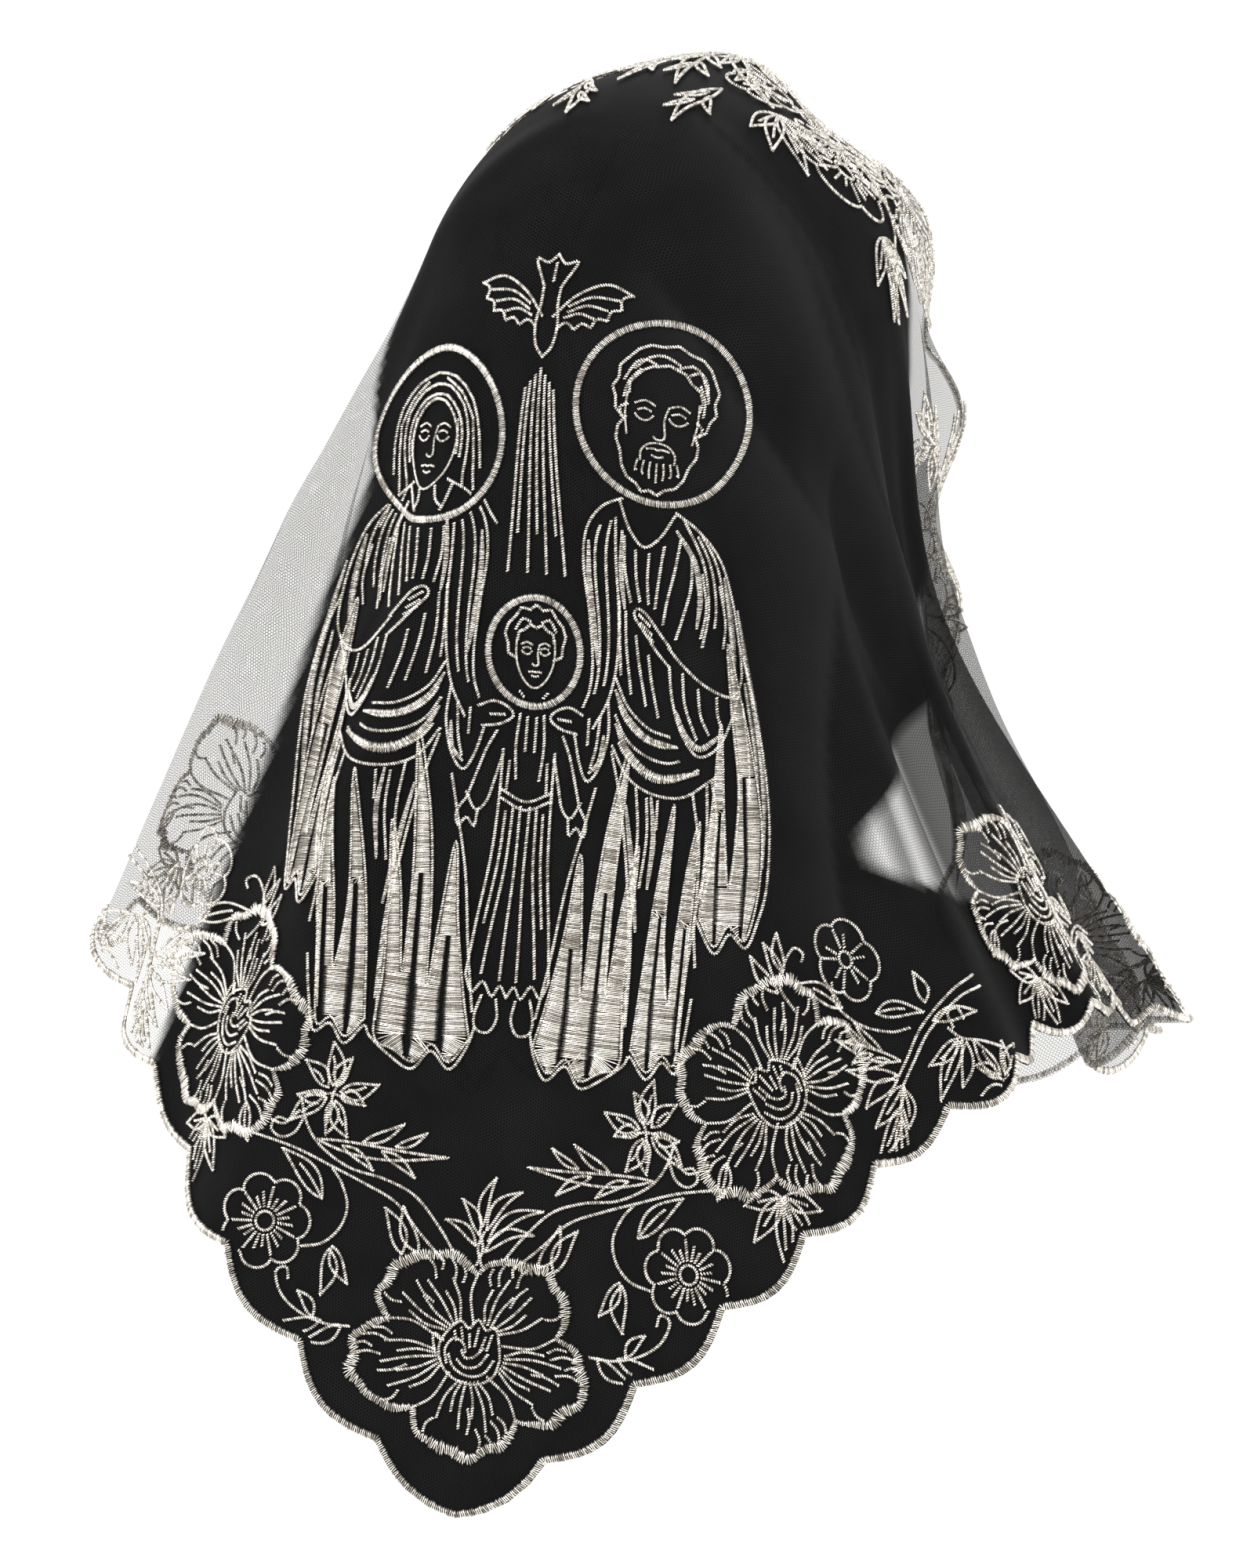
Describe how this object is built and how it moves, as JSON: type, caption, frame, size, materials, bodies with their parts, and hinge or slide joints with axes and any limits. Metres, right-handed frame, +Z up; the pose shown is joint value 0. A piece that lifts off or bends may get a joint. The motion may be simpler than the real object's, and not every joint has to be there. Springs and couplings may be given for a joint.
{
  "type": "mantilla veil",
  "caption": "Black net head veil with scalloped silver edging and metallic embroidery, draped over the crown, falling in folds to the shoulders and to a rounded point down the back",
  "frame": {"origin": "the inside of the net where it lies on the crown of the head, on the head's upright axis", "axes": "+Z up; -Y towards the face and +Y towards the back point; +X towards the wearer's left. The head is turned 25 degrees to the wearer's right over the shoulders, so the back point and the folds over the shoulders are turned about +Z against the head"},
  "size_m": [0.3748, 0.3636, 0.4935],
  "materials": {
    "black_net": "fine black net with small open meshes, matt, see-through",
    "silver_thread": "satin-stitched metallic embroidery thread, warm silver, glossy along the stitches"
  },
  "bodies": {
    "root": {"net_veil": "black_net", "scalloped_edging": "silver_thread", "back_point_flower": "silver_thread", "hem_flower_1_left": "silver_thread", "hem_flower_1_right": "silver_thread", "hem_flower_2_left": "silver_thread", "hem_flower_2_right": "silver_thread", "hem_flower_3_left": "silver_thread", "hem_flower_3_right": "silver_thread", "front_flower_1_left": "silver_thread", "front_flower_1_right": "silver_thread", "man_halo": "silver_thread", "woman_halo": "silver_thread", "child_halo": "silver_thread", "inner_robe_fold_left": "silver_thread", "inner_robe_fold_right": "silver_thread", "middle_robe_fold_left": "silver_thread", "middle_robe_fold_right": "silver_thread", "outer_robe_fold_left": "silver_thread", "outer_robe_fold_right": "silver_thread"}
  },
  "joints": []
}
